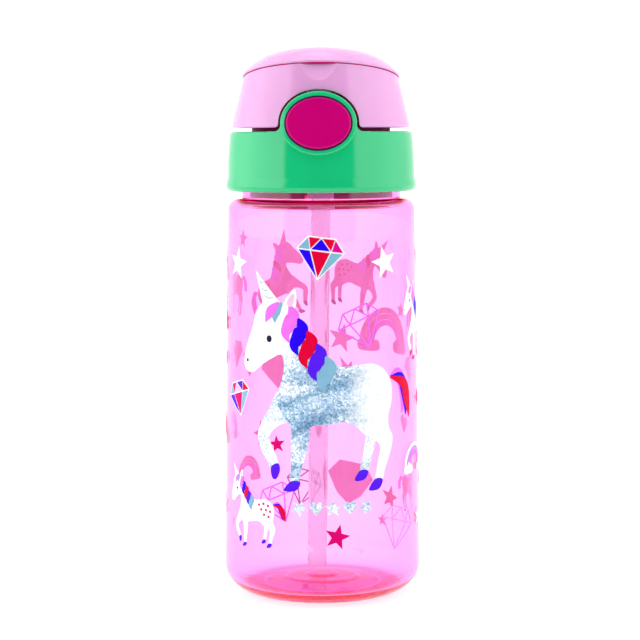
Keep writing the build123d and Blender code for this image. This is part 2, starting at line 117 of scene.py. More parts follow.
TURN_STEPS = 28               # points in one turn of a coil


def body_radius(z):
    """Outside radius of the tapered body at a height in mm."""
    share = (z - HEEL) / (SHOULDER_START - HEEL)
    return LOW_RADIUS + (HIGH_RADIUS - LOW_RADIUS) * share


# ------------------------------------------------------------------ node helpers

def feed(tree, socket, value):
    """Sets a socket to a value, or links it when the value comes out of another node."""
    if isinstance(value, bpy.types.NodeSocket):
        tree.links.new(value, socket)
    else:
        socket.default_value = value


def add_math(tree, operation, first, second):
    """Adds a maths node; each of the two terms is a number or the output of a node."""
    node = tree.nodes.new("ShaderNodeMath")
    node.operation = operation
    feed(tree, node.inputs[0], first)
    feed(tree, node.inputs[1], second)
    return node.outputs[0]


def fill_ramp(node, stops):
    """Gives a colour ramp its stops, each a place from 0 to 1 and a colour."""
    while len(node.color_ramp.elements) < len(stops):
        node.color_ramp.elements.new(0.5)
    for element, (place, color) in zip(node.color_ramp.elements, stops):
        element.position = place
        element.color = (*color, 1)


class Shader:
    """A small wrapper that adds nodes to one material."""

    def __init__(self, name):
        self.material = bpy.data.materials.new(name)
        self.material.use_nodes = True
        self.tree = self.material.node_tree
        self.bsdf = self.tree.nodes["Principled BSDF"]
        self.out = self.tree.nodes["Material Output"]
        self.coords = self.tree.nodes.new("ShaderNodeTexCoord").outputs["Object"]

    def set(self, **values):
        """Sets inputs of the surface; an underscore stands for a space in their names."""
        for key, value in values.items():
            self.bsdf.inputs[key.replace("_", " ")].default_value = value

    def link(self, output, socket):
        self.tree.links.new(output, socket)

    def place(self):
        """Outputs X, Y and Z: where a point of the object is, in metres."""
        node = self.tree.nodes.new("ShaderNodeSeparateXYZ")
        self.link(self.coords, node.inputs["Vector"])
        return node.outputs

    def noise(self, scale, detail, roughness=0.5, stretch=(1, 1, 1)):
        mapping = self.tree.nodes.new("ShaderNodeMapping")
        mapping.inputs["Scale"].default_value = stretch
        self.link(self.coords, mapping.inputs["Vector"])
        node = self.tree.nodes.new("ShaderNodeTexNoise")
        node.inputs["Scale"].default_value = scale
        node.inputs["Detail"].default_value = detail
        node.inputs["Roughness"].default_value = roughness
        self.link(mapping.outputs["Vector"], node.inputs["Vector"])
        return node.outputs["Fac"]

    def cells(self, scale):
        """Outputs Red, Green and Blue: three values that differ from cell to cell."""
        node = self.tree.nodes.new("ShaderNodeTexVoronoi")
        node.inputs["Scale"].default_value = scale
        self.link(self.coords, node.inputs["Vector"])
        split = self.tree.nodes.new("ShaderNodeSeparateColor")
        self.link(node.outputs["Color"], split.inputs["Color"])
        return split.outputs

    def ramp(self, source, stops):
        node = self.tree.nodes.new("ShaderNodeValToRGB")
        fill_ramp(node, stops)
        self.link(source, node.inputs["Fac"])
        return node.outputs["Color"]

    def grey(self, source, low, high, start=0.3, stop=0.7):
        """A value that goes from low to high while the source goes from start to stop."""
        node = self.tree.nodes.new("ShaderNodeMapRange")
        node.inputs["From Min"].default_value = start
        node.inputs["From Max"].default_value = stop
        node.inputs["To Min"].default_value = low
        node.inputs["To Max"].default_value = high
        self.link(source, node.inputs["Value"])
        return node.outputs["Result"]

    def math(self, operation, first, second):
        return add_math(self.tree, operation, first, second)

    def mix(self, blend, factor, first, second):
        """Mixes two colours; each of the three values may come out of another node."""
        node = self.tree.nodes.new("ShaderNodeMix")
        node.data_type = "RGBA"
        node.blend_type = blend
        feed(self.tree, node.inputs["Factor"], factor)
        feed(self.tree, node.inputs[6], first)
        feed(self.tree, node.inputs[7], second)
        return node.outputs[2]

    def color(self, source):
        self.link(source, self.bsdf.inputs["Base Color"])

    def mottle(self, source, color, low, high):
        """Base colour that drifts from a darker to a lighter shade of one colour."""
        self.color(self.ramp(source, [(0.3, shade(color, low)), (0.7, shade(color, high))]))

    def rough(self, source):
        self.link(source, self.bsdf.inputs["Roughness"])

    def bump(self, source, strength, distance):
        node = self.tree.nodes.new("ShaderNodeBump")
        node.inputs["Strength"].default_value = strength
        node.inputs["Distance"].default_value = distance
        self.link(source, node.inputs["Height"])
        self.link(node.outputs["Normal"], self.bsdf.inputs["Normal"])


def shade(color, factor):
    return tuple(min(1.0, channel * factor) for channel in color)


def gloss_plastic(name, color, roughness, glow=0.0, shine=0.5):
    """Moulded plastic: slight flow marks in the colour, uneven gloss, faint orange peel."""
    shader = Shader(name)
    shader.set(IOR=1.5, Specular_IOR_Level=shine)
    shader.mottle(shader.noise(38, 4.0, 0.55, (1, 1, 0.45)), color, 0.94, 1.05)
    shader.rough(shader.grey(shader.noise(190, 5.0, 0.6), roughness * 0.75, roughness * 1.5))
    shader.bump(shader.noise(900, 2.0), 0.05, 0.00006)
    if glow:
        shader.set(
            Subsurface_Weight=glow,
            Subsurface_Radius=(0.004, 0.0012, 0.0025),
            Subsurface_Scale=0.8,
        )
    return shader.material


def soft_silicone(name, color):
    """Soft rubbery plastic that lets a little light in."""
    shader = Shader(name)
    shader.set(IOR=1.42, Sheen_Weight=0.15)
    shader.set(Subsurface_Weight=0.35, Subsurface_Radius=(0.003, 0.002, 0.002), Subsurface_Scale=0.5)
    shader.mottle(shader.noise(60, 4.0), color, 0.93, 1.04)
    shader.rough(shader.grey(shader.noise(500, 5.0), 0.38, 0.56))
    shader.bump(shader.noise(2200, 3.0), 0.12, 0.00005)
    return shader.material


def drawn_steel(name):
    """Bright wire with fine marks along it."""
    shader = Shader(name)
    shader.set(Metallic=1.0, IOR=2.5)
    shader.color(shader.ramp(shader.noise(700, 3.0), [(0.3, (0.50, 0.50, 0.52)), (0.7, (0.74, 0.74, 0.76))]))
    shader.rough(shader.grey(shader.noise(1500, 4.0, 0.6, (0.15, 1, 1)), 0.18, 0.34))
    shader.bump(shader.noise(3000, 2.0, 0.5, (0.1, 1, 1)), 0.1, 0.00003)
    return shader.material


def tinted_clear(name):
    """Clear pink plastic, tinted by its depth, with faint moulding waves and a painted glow at the shoulder.
    """
    shader = Shader(name)
    shader.set(IOR=1.5, Transmission_Weight=1.0, Base_Color=(1, 1, 1, 1))
    place = shader.place()
    # the thick floor looks deeper in colour than the wall
    squares = [shader.math("MULTIPLY", place[axis], place[axis]) for axis in "XY"]
    across = shader.math("SQRT", shader.math("ADD", *squares), 0.0)
    low = shader.grey(place["Z"], 1.0, 0.0, 0.0085, 0.0105)
    floor = shader.math("MULTIPLY", low, shader.grey(across, 1.0, 0.0, 0.0272, 0.0296))
    shader.color(shader.ramp(floor, [(0.0, (1, 1, 1)), (1.0, (1.0, 0.14, 0.56))]))
    # painted glow at the shoulder: a crimson emission stands in for the light that the clear wall carries up
    # and lets out there
    shader.set(Emission_Color=(0.62, 0.0, 0.05, 1))
    shoulder = shader.math(
        "MULTIPLY",
        shader.grey(place["Z"], 0.0, 0.15, 0.1464, 0.1478),
        shader.grey(place["Z"], 1.0, 0.0, 0.1504, 0.1510),
    )
    shader.link(shoulder, shader.bsdf.inputs["Emission Strength"])
    shader.rough(shader.grey(shader.noise(60, 4.0), 0.004, 0.03))
    shader.bump(shader.noise(70, 2.0, 0.4, (1, 1, 0.35)), 0.04, 0.0004)
    volume = shader.tree.nodes.new("ShaderNodeVolumeAbsorption")
    volume.inputs["Color"].default_value = (1.0, 0.03, 0.82, 1)
    volume.inputs["Density"].default_value = 245.0
    shader.link(volume.outputs["Volume"], shader.out.inputs["Volume"])
    return shader.material


def straw_plastic(name):
    """Cloudy see-through plastic with faint marks along its length."""
    shader = Shader(name)
    shader.set(IOR=1.3, Transmission_Weight=0.92)
    cloud = shader.noise(45, 3.0, 0.5, (1, 1, 0.1))
    shader.color(shader.ramp(cloud, [(0.3, (0.955, 0.94, 0.95)), (0.7, (0.975, 0.965, 0.97))]))
    shader.rough(shader.grey(shader.noise(300, 4.0), 0.10, 0.2))
    shader.bump(shader.noise(260, 3.0, 0.5, (1, 1, 0.05)), 0.1, 0.0001)
    return shader.material


def ink(name, color, roughness=0.34):
    """Screen-printed ink: slightly uneven cover and a fine pebbled surface."""
    shader = Shader(name)
    shader.set(IOR=1.4, Specular_IOR_Level=0.06)
    shader.mottle(shader.noise(260, 5.0, 0.6), color, 0.92, 1.06)
    shader.rough(shader.grey(shader.noise(800, 4.0), roughness * 0.8, roughness * 1.3))
    shader.bump(shader.noise(2500, 2.0), 0.15, 0.00004)
    return shader.material


def backing(name, color):
    """Ink under the print, seen through the bottle from the other side, with a painted glow in its own colour
    standing in for the light behind it.
    """
    material = ink(name, color, 0.5)
    sockets = material.node_tree.nodes["Principled BSDF"].inputs
    # painted glow: emission in the ink's own colour stands in for light shining through from behind
    sockets["Emission Color"].default_value = (*color, 1)
    sockets["Emission Strength"].default_value = 0.45
    return material


# tint across the slanting stripes of the glitter on the belly, from low to high
STRIPES = [
    (0.0, (1, 1, 1)), (0.26, (0.95, 0.98, 1)), (0.31, (0.44, 0.60, 0.70)), (0.36, (0.52, 0.66, 0.76)),
    (0.41, (0.74, 0.84, 0.92)), (0.63, (0.76, 0.86, 0.93)), (0.67, (0.42, 0.60, 0.70)),
    (0.72, (0.47, 0.66, 0.76)), (0.77, (1, 1, 1)), (1.0, (1, 1, 1)),
]


def faded(shader, flakes):
    """Flakes that cover the shoulder and belly of the big unicorn, where they lie in slanting
    stripes, and give way to white ink towards its head and its rump."""
    place = shader.place()
    ragged = shader.grey(shader.noise(500, 3.0), -0.003, 0.003)
    slope = shader.math("SUBTRACT", place["Z"], shader.math("MULTIPLY", place["X"], 0.4))
    uneven = shader.math("ADD", slope, shader.math("MULTIPLY", ragged, 0.4))
    stripes = shader.ramp(shader.grey(uneven, 0.0, 1.0, 0.060, 0.090), STRIPES)
    striped = shader.mix("MULTIPLY", 1.0, flakes, stripes)
    rump = shader.grey(shader.math("ADD", place["X"], ragged), 1.0, 0.22, 0.009, 0.017)
    head = shader.grey(shader.math("SUBTRACT", place["Z"], place["X"]), 1.0, 0.03, 0.101, 0.110)
    return shader.mix("MIX", shader.math("MULTIPLY", rump, head), (0.90, 0.90, 0.90, 1), striped)


def glitter(name, dark, light, fade=False):
    """Silver flakes set in clear ink: every flake has its own brightness, gloss and tilt."""
    shader = Shader(name)
    shader.set(Metallic=0.25, IOR=1.6)
    cells = shader.cells(1750)
    streaks = shader.grey(shader.noise(75, 2.0, 0.5, (1.0, 1.0, 2.6)), -0.28, 0.30, 0.35, 0.65)
    flakes = shader.ramp(
        shader.math("ADD", cells["Red"], streaks),
        [(0.0, dark), (0.3, shade(light, 0.78)), (0.68, light), (0.95, (1.0, 1.0, 1.0))],
    )
    shader.color(faded(shader, flakes) if fade else flakes)
    shader.rough(shader.grey(cells["Green"], 0.2, 0.5, 0.0, 1.0))
    shader.bump(cells["Blue"], 0.4, 0.0002)
    return shader.material


# ------------------------------------------------------------------ mesh helpers

def add_mesh(name, mesh, material, body, smooth_angle=None):
    """Adds a mesh as an object, smoothed up to an angle in degrees, and rides it on a body if given."""
    obj = bpy.data.objects.new(name, mesh)
    bpy.context.scene.collection.objects.link(obj)
    mesh.materials.append(material)
    if smooth_angle is not None:
        mesh.shade_smooth()
        mesh.set_sharp_from_angle(angle=math.radians(smooth_angle))
    if body:
        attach(obj, body)
    return obj


def arc(center, radii, start, stop, steps):
    """Points on an elliptical arc, in degrees, ends included."""
    points = []
    for i in range(steps + 1):
        angle = math.radians(start + (stop - start) * i / steps)
        points.append((center[0] + radii[0] * math.cos(angle), center[1] + radii[1] * math.sin(angle)))
    return points


def straight(a, b, steps):
    return [
        (a[0] + (b[0] - a[0]) * i / steps, a[1] + (b[1] - a[1]) * i / steps)
        for i in range(steps + 1)
    ]


def spline(points, steps, closed=True):
    """Catmull-Rom curve through hand-set points."""
    count = len(points)
    result = []
    spans = count if closed else count - 1
    for i in range(spans):
        if closed:
            p = [points[(i + k - 1) % count] for k in range(4)]
        else:
            p = [points[min(max(i + k - 1, 0), count - 1)] for k in range(4)]
        for j in range(steps):
            t = j / steps
            result.append(
                tuple(
                    0.5
                    * (
                        2 * p[1][d]
                        + (p[2][d] - p[0][d]) * t
                        + (2 * p[0][d] - 5 * p[1][d] + 4 * p[2][d] - p[3][d]) * t * t
                        + (3 * p[1][d] - p[0][d] - 3 * p[2][d] + p[3][d]) * t**3
                    )
                    for d in range(len(points[0]))
                )
            )
    if not closed:
        result.append(tuple(points[-1]))
    return result


def lathe(profile, segments, ripple):
    """Closed surface of revolution of a section in mm; ripple(r, z, angle) may move a point."""
    mesh = bpy.data.meshes.new("lathe")
    verts, faces, rings = [], [], []
    for r, z in profile:
        if r < 1e-6:
            verts.append((0, 0, z * MM))
            rings.append([len(verts) - 1])
            continue
        ring = []
        for i in range(segments):
            angle = 2 * math.pi * i / segments
            reach, height = ripple(r, z, angle)
            ring.append(len(verts))
            verts.append((reach * MM * math.cos(angle), reach * MM * math.sin(angle), height * MM))
        rings.append(ring)
    for low, high in zip(rings, rings[1:]):
        for i in range(segments):
            j = (i + 1) % segments
            if len(low) == 1:
                faces.append((low[0], high[j], high[i]))
            elif len(high) == 1:
                faces.append((low[i], low[j], high[0]))
            else:
                faces.append((low[i], low[j], high[j], high[i]))
    mesh.from_pydata(verts, [], faces)
    bm = bmesh.new()
    bm.from_mesh(mesh)
    bmesh.ops.recalc_face_normals(bm, faces=bm.faces)
    bm.to_mesh(mesh)
    bm.free()
    return mesh


def tube(points, radius, sides=14):
    """A round wire along 3-D points in metres, capped at both ends."""
    points = [Vector(p) for p in points]
    verts, faces = [], []
    tangent = (points[1] - points[0]).normalized()
    normal = tangent.orthogonal().normalized()
    for i, point in enumerate(points):
        ahead = points[min(i + 1, len(points) - 1)]
        behind = points[max(i - 1, 0)]
        new_tangent = (ahead - behind).normalized()
        normal = (tangent.rotation_difference(new_tangent) @ normal).normalized()
        tangent = new_tangent
        side = tangent.cross(normal)
        for k in range(sides):
            angle = 2 * math.pi * k / sides
            verts.append(point + radius * (math.cos(angle) * normal + math.sin(angle) * side))
    for i in range(len(points) - 1):
        for k in range(sides):
            m = (k + 1) % sides
            faces.append((i * sides + k, i * sides + m, (i + 1) * sides + m, (i + 1) * sides + k))
    faces.append(tuple(reversed(range(sides))))
    last = (len(points) - 1) * sides
    faces.append(tuple(range(last, last + sides)))
    mesh = bpy.data.meshes.new("tube")
    mesh.from_pydata(verts, [], faces)
    return mesh


# ------------------------------------------------------------------ materials

PINK = (0.70, 0.335, 0.63)
GREEN = (0.006, 0.49, 0.18)
MAGENTA = (0.50, 0.0, 0.145)
BERRY = (0.38, 0.0, 0.12)

clear_pink = tinted_clear("clear_pink_plastic")
lid_pink = gloss_plastic("lid_pink_plastic", PINK, 0.085, glow=0.5)
collar_green = gloss_plastic("collar_green_plastic", GREEN, 0.07, glow=0.05)
button_magenta = gloss_plastic("button_magenta_plastic", MAGENTA, 0.12, shine=0.15)
cap_berry = gloss_plastic("cap_berry_plastic", BERRY, 0.45, shine=0.1)
slider_white = gloss_plastic("slider_white_plastic", (0.78, 0.78, 0.75), 0.35)
# painted shade: a rose-red line in the seam of the cover
seam_painted_shade = gloss_plastic("seam_rose_plastic", (0.48, 0.0, 0.09), 0.5, shine=0.1)
# painted shadow: a near-black line in the gap round the button
gap_painted_shadow = gloss_plastic("gap_dark_plastic", (0.022, 0.002, 0.045), 0.5, shine=0.2)
silicone = soft_silicone("soft_silicone", (0.80, 0.74, 0.75))
steel = drawn_steel("drawn_steel")
straw_clear = straw_plastic("straw_plastic")

NODE_MATERIALS = {
    "lid_gasket": silicone,
    "inner_cap": cap_berry,
    "lid_collar": collar_green,
    "hinge_pin": steel,
    "cover_shell": lid_pink,
    "cover_cap": lid_pink,
    "spout_seal": silicone,
    "release_button": button_magenta,
    "latch_slider": slider_white,
    "straw": straw_clear,
    "spout": silicone,
    "air_valve": silicone,
}
for node, material in NODE_MATERIALS.items():
    for material_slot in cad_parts[node].material_slots:
        material_slot.material = material

# ------------------------------------------------------------------ bottle

def bottle_profile():
    """Section of the bottle, from the middle of the underside round to the inside floor."""
    high_round = HIGH_RADIUS - SHOULDER_ROUND
    # hollow of the underside, and rise of the inside floor towards its middle
    hollow = [(3, 3.37), (8, 3.1), (13, 2.4), (17, 1.45), (19.8, 0.5), (21.2, 0)]
    rise = [
        (FLOOR_RADIUS, 0), (22.0, 0.35), (17.0, 0.75), (14.6, 1.05), (13.4, 1.6), (12.0, 1.8),
        (9.0, 2.0), (6.6, 2.2), (5.6, 2.6), (4.4, 2.8), (2.0, 2.85),
    ]
    outside = [(0, 3.4), hollow[0]]
    outside += spline(hollow, 5, closed=False)[1:]
    outside += arc((FOOT_RADIUS, HEEL), (LOW_RADIUS - FOOT_RADIUS, HEEL), -90, 0, 40)
    outside += straight((LOW_RADIUS, HEEL), (HIGH_RADIUS, SHOULDER_START), 12)[1:]
    outside += arc((high_round, SHOULDER_START), (SHOULDER_ROUND, SHOULDER_ROUND), 0, 90, 14)[1:]
    outside += arc((NECK_RADIUS + 0.5, SHOULDER_TOP + 0.5), (0.5, 0.5), 270, 180, 5)
    outside += [(NECK_RADIUS, 153.0), (NECK_RADIUS, NECK_RIM - 0.4)]
    outside += arc((NECK_RADIUS - 0.4, NECK_RIM - 0.4), (0.4, 0.4), 0, 90, 3)[1:]
    inside = arc((NECK_BORE + 0.4, NECK_RIM - 0.4), (0.4, 0.4), 90, 180, 3)
    inside += [(NECK_BORE, 153.0), (NECK_BORE, SHOULDER_TOP + 0.3)]
    inside += arc((NECK_BORE + 2.2, SHOULDER_TOP + 0.3), (2.2, 2.2), 180, 270, 6)[1:]
    inside += arc((HIGH_RADIUS - WALL - 2.6, SHOULDER_START), (2.6, 2.6), 90, 0, 10)
    inside += straight((HIGH_RADIUS - WALL, SHOULDER_START), (LOW_RADIUS - WALL, HEEL), 12)[1:]
    inside += arc((FLOOR_RADIUS, HEEL), (LOW_RADIUS - FLOOR_RADIUS - WALL, HEEL - FLOOR), 0, -90, 32)[1:]
    inside += spline([(r, FLOOR + z) for r, z in rise], 4, closed=False)[1:]
    inside += [(0, FLOOR + rise[-1][1])]
    return outside + inside


def heel_ribs(r, z, angle):
    """Moves a point of the lathed section out where a rib lies under the heel."""
    if not RIB_INNER <= r <= RIB_OUTER:
        return r, z
    # only the outside has ribs: an arc 1 mm inside the heel parts it from the inside of the bottle
    reach = (r - FOOT_RADIUS) / (LOW_RADIUS - FOOT_RADIUS - 1.0)
    if z > HEEL - (HEEL - 1.0) * math.sqrt(1 - reach**2):
        return r, z
    along = min(r - RIB_INNER, RIB_OUTER - r) / 0.5
    across = (math.cos(RIBS * angle) + 0.25) / 0.5
    lift = RIB_HEIGHT * max(0.0, min(1.0, along)) * max(0.0, min(1.0, across))
    # out at a right angle to the heel
    return r + 0.36 * lift, z - 0.93 * lift


bottle_skin = add_mesh("bottle_shell", lathe(bottle_profile(), 288, heel_ribs), clear_pink, "bottle", 40)
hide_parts("bottle")

# ------------------------------------------------------------------ printed decoration

WHITE = ink("ink_white", (0.90, 0.90, 0.90))
SILVER = glitter("ink_silver_glitter", (0.26, 0.42, 0.60), (0.66, 0.78, 0.92))
COAT = glitter("ink_coat_glitter", (0.16, 0.32, 0.50), (0.50, 0.68, 0.88), fade=True)
SPARKLE = glitter("ink_white_glitter", (0.36, 0.54, 0.68), (0.72, 0.82, 0.90))
RED = ink("ink_red", (0.72, 0.0, 0.036))
CERISE = ink("ink_cerise", (0.72, 0.0, 0.30))
HOT = ink("ink_magenta", (0.68, 0.0, 0.15))
ROSE = ink("ink_rose", (0.82, 0.16, 0.78))
BLUSH = ink("ink_blush", (0.92, 0.50, 0.76))
BLUE = ink("ink_royal_blue", (0.02, 0.0, 0.80))
LILAC = ink("ink_lilac", (0.52, 0.26, 0.80))
PALE = ink("ink_pale_lilac", (0.86, 0.50, 0.92))
ORCHID = ink("ink_orchid", (0.78, 0.30, 0.74))
TEAL = ink("ink_teal", (0.21, 0.44, 0.60))
SALMON = backing("ink_backing", (0.98, 0.48, 0.70))
BACK_ROSE = backing("ink_backing_rose", (0.98, 0.38, 0.92))
BACK_RED = backing("ink_backing_red", (0.88, 0.16, 0.38))
BACK_PLUM = backing("ink_backing_plum", (0.52, 0.16, 0.36))
VIOLET = ink("ink_violet", (0.09, 0.01, 0.80))
DARK = ink("ink_dark", (0.012, 0.016, 0.045))

prints = {}


def wrap(u, v, level, top):
    """Place of a point of the flat artwork on the bottle: u along the girth, v the height."""
    angle = u / PRINT_RADIUS
    r = body_radius(v) + PRINT_GAP + PRINT_STEP * level + (PRINT_THICKNESS if top else 0.0)
    return Vector((r * math.sin(angle), -r * math.cos(angle), v)) * MM


def lay(material, outline, level):
    """Adds one closed printed shape, given as points in mm, to the skin of its ink."""
    bm = prints.setdefault(material.name, (material, bmesh.new()))[1]
    flat = bmesh.new()
    points = [flat.verts.new((u, v, 0)) for u, v in outline]
    corners = [Vector((u, v, 0)) for u, v in outline]
    for triangle in tessellate_polygon([corners]):
        try:
            flat.faces.new([points[i] for i in triangle])
        except ValueError:
            continue
    low = min(u for u, v in outline)
    high = max(u for u, v in outline)
    cut = math.floor(low / PRINT_STRIP) * PRINT_STRIP + PRINT_STRIP
    while cut < high:
        bmesh.ops.bisect_plane(
            flat,
            geom=flat.verts[:] + flat.edges[:] + flat.faces[:],
            plane_co=(cut, 0, 0),
            plane_no=(1, 0, 0),
            dist=1e-5,
        )
        cut += PRINT_STRIP
    bmesh.ops.dissolve_degenerate(flat, dist=1e-4, edges=flat.edges)
    bottom = {v: bm.verts.new(wrap(v.co.x, v.co.y, level, False)) for v in flat.verts}
    top = {v: bm.verts.new(wrap(v.co.x, v.co.y, level, True)) for v in flat.verts}
    for face in flat.faces:
        ring = list(face.verts)
        if face.normal.z < 0:
            ring.reverse()
        bm.faces.new([top[v] for v in ring])
        bm.faces.new([bottom[v] for v in reversed(ring)])
        for a, b in zip(ring, ring[1:] + ring[:1]):
            edge = flat.edges.get((a, b))
            if edge is not None and len(edge.link_faces) == 1:
                bm.faces.new([bottom[a], bottom[b], top[b], top[a]])
    flat.free()


def moved(points, place, scale=1.0, turn=0.0, mirror=False):
    """An outline scaled, turned by degrees and put in its place, and mirrored first if asked."""
    cosine, sine = math.cos(math.radians(turn)), math.sin(math.radians(turn))
    sign = -1 if mirror else 1
    result = []
    for u, v in points:
        u *= sign
        result.append((
            place[0] + scale * (u * cosine - v * sine),
            place[1] + scale * (u * sine + v * cosine),
        ))
    if mirror:
        result.reverse()
    return result


def strand(spine, widths, steps):
    """Outline of a tapering lock that follows a spine."""
    path = spline([(*p, w) for p, w in zip(spine, widths)], steps, closed=False)
    left, right = [], []
    for i, (u, v, w) in enumerate(path):
        behind = path[max(i - 1, 0)]
        ahead = path[min(i + 1, len(path) - 1)]
        du, dv = ahead[0] - behind[0], ahead[1] - behind[1]
        length = math.hypot(du, dv) or 1.0
        half = max(w, 0.05) / 2
        left.append((u - dv / length * half, v + du / length * half))
        right.append((u + dv / length * half, v - du / length * half))
    return left + right[::-1]


def line(a, b, width):
    return strand([a, b], [width, width], 1)


def star_outline(radius):
    """Five points, with the notches between them at 0.42 of the radius."""
    points = []
    for k in range(10):
        reach = radius if k % 2 == 0 else radius * 0.42
        points.append((reach * math.sin(math.pi * k / 5), reach * math.cos(math.pi * k / 5)))
    return points


def star(place, radius, material, turn=0.0, backed=True):
    outline = moved(star_outline(radius), place, 1.0, turn)
    if backed:
        lay(BACK_RED if material in (HOT, RED) else SALMON, outline, 0)
    lay(material, outline, 1)


def heart(place, size, material, turn=0.0):
    half = [(0, 0.62), (0.32, 0.95), (0.72, 0.98), (1.0, 0.62), (0.94, 0.18), (0.55, -0.38), (0, -0.95)]
    outline = spline(half + [(-u, v) for u, v in reversed(half[1:-1])], 4)
    lay(SALMON, moved(outline, place, size, turn), 0)
    lay(material, moved(outline, place, size, turn), 1)


# corners of a cut gem, in mm at scale 1, and the facets between them
GEM_TOP = [(-5.2, 7.4), (-0.2, 7.4), (5.2, 7.4)]
GEM_GIRDLE = [(-9.0, 2.6), (-4.1, 2.6), (4.1, 2.6), (9.0, 2.6)]
GEM_FOOT = (0.0, -8.2)
GEM_FACETS = [
    (GEM_GIRDLE[0], GEM_TOP[0], GEM_GIRDLE[1]),
    (GEM_TOP[0], GEM_TOP[1], GEM_GIRDLE[1]),
    (GEM_TOP[1], GEM_GIRDLE[2], GEM_GIRDLE[1]),
    (GEM_TOP[1], GEM_TOP[2], GEM_GIRDLE[2]),
    (GEM_TOP[2], GEM_GIRDLE[3], GEM_GIRDLE[2]),
    (GEM_GIRDLE[0], GEM_GIRDLE[1], GEM_FOOT),
    (GEM_GIRDLE[1], GEM_GIRDLE[2], GEM_FOOT),
    (GEM_GIRDLE[2], GEM_GIRDLE[3], GEM_FOOT),
]
GEM_RIM = [GEM_GIRDLE[0], GEM_TOP[0], GEM_TOP[2], GEM_GIRDLE[3], GEM_FOOT]
GEM_LINE = 0.55               # width of a drawn line


def gem(place, scale, colors, turn):
    """A cut gem: white lines between coloured facets."""
    grown = moved([(u * 1.05, v * 1.05) for u, v in GEM_RIM], place, scale, turn)
    lay(SALMON, grown, 0)
    lay(WHITE, grown, 1)
    for facet, color in zip(GEM_FACETS, colors):
        middle_u = sum(corner[0] for corner in facet) / 3
        middle_v = sum(corner[1] for corner in facet) / 3
        inner = [(middle_u + (u - middle_u) * 0.89, middle_v + (v - middle_v) * 0.89) for u, v in facet]
        lay(color, moved(inner, place, scale, turn), 2)


def gem_lines(place, scale, material, turn):
    """A gem drawn only as lines, which lie at three levels where they cross."""
    edges = set()
    for facet in GEM_FACETS:
        for a, b in zip(facet, facet[1:] + facet[:1]):
            edges.add((min(a, b), max(a, b)))
    for number, (a, b) in enumerate(sorted(edges)):
        edge = moved(line(a, b, GEM_LINE / scale), place, scale, turn)
        lay(material, edge, 1 + 0.12 * (number % 3))


def solid_gem(place, scale, material, turn):
    """A gem in one colour, with rounder flanks."""
    rim = moved(GEM_RIM[:4] + [(4.6, -4.6), GEM_FOOT, (-4.6, -4.6)], place, scale, turn)
    lay(SALMON, rim, 0)
    lay(material, rim, 1)


CLOUD = [(-3.4, -1.4), (-3.2, 1.0), (-1.2, 1.2), (0.2, 2.6), (2.2, 1.6), (3.6, 0.6), (3.2, -1.5), (0, -1.9)]
BAND = 0.17                   # width of one band of a rainbow, as a share of its size


def rainbow(place, size, colors):
    """Concentric arches with a cloud at each foot."""
    for band, color in enumerate(colors):
        outer = size * (1 - BAND * band)
        inner = size * (1 - BAND * (band + 1)) + 0.12
        arch = moved(arc((0, 0), (outer, outer), 0, 180, 24) + arc((0, 0), (inner, inner), 180, 0, 24), place)
        lay(BACK_ROSE if band == 2 else SALMON, arch, 0)
        lay(color, arch, 1)
    for side in (-1, 1):
        foot = (place[0] + side * size * 0.68, place[1] - 0.6)
        puff = moved(spline(CLOUD, 5), foot, size / 9.5)
        lay(SALMON, puff, 0.15)
        lay(WHITE, puff, 2)


# A unicorn standing and facing left, about 70 mm long and 80 mm tall. Its stance and the outline
# of its body were drawn through landmarks measured in the photo, and its horn and ear
# were corrected against the photo. Its hair, eye and nostril are plain shapes made by formula.
HORSE = [
    (-32.4, 13.6), (-32.0, 17.0), (-29.8, 22.2), (-27.6, 27.0), (-26.2, 31.4), (-23.4, 35.2),
    (-18.6, 36.8), (-13.6, 35.8), (-8.8, 32.2), (-4.6, 26.6), (-1.0, 20.0), (3.4, 14.8),
    (8.6, 12.8), (14.4, 13.2), (20.4, 13.4), (25.6, 10.8), (28.9, 5.6), (29.0, -0.6),
    (27.3, -6.2), (27.5, -10.4), (29.4, -14.4), (28.2, -19.4), (25.6, -25.2), (24.0, -29.6),
    (20.9, -29.4), (21.9, -23.8), (23.1, -17.6), (20.6, -14.4), (16.8, -12.6), (12.6, -8.8),
    (8.6, -7.6), (3.6, -8.3), (-1.2, -8.6), (-3.7, -9.6), (-4.2, -14.4), (-5.6, -20.6),
    (-7.2, -26.0), (-7.7, -29.8), (-10.9, -29.8), (-10.9, -24.4), (-10.8, -17.2), (-11.0, -9.8),
    (-13.4, -5.6), (-16.2, -1.2), (-15.8, 3.4), (-14.2, 8.6), (-13.6, 13.6), (-14.8, 17.0),
    (-18.8, 15.4), (-23.2, 12.8), (-26.8, 10.2), (-29.6, 9.9), (-31.6, 11.2),
]
FAR_FRONT = [
    (-15.6, 3.4), (-19.8, -3.2), (-23.6, -9.2), (-24.9, -13.4), (-23.2, -18.4), (-20.4, -22.6),
    (-18.9, -24.8), (-15.9, -23.2), (-17.4, -18.8), (-19.6, -14.4), (-19.2, -12.2), (-15.6, -9.0),
    (-11.2, -7.0), (-8.0, -2.0),
]
FAR_HIND = [
    (16.0, -8.0), (16.9, -12.6), (16.2, -18.4), (14.7, -25.8), (17.7, -26.0), (19.8, -19.6),
    (21.6, -13.2), (22.0, -8.0),
]
HOOVES = [
    [(-18.8, -24.4), (-15.9, -23.0), (-15.2, -25.6), (-16.7, -28.8), (-18.4, -28.2)],
    [(-10.9, -29.4), (-7.5, -29.4), (-7.9, -31.6), (-9.8, -33.0), (-13.6, -32.8)],
    [(14.7, -25.6), (17.8, -25.8), (17.4, -27.9), (15.8, -29.2), (12.6, -29.1)],
    [(20.8, -29.2), (24.1, -29.4), (23.6, -31.7), (21.8, -33.2), (18.2, -33.0)],
]
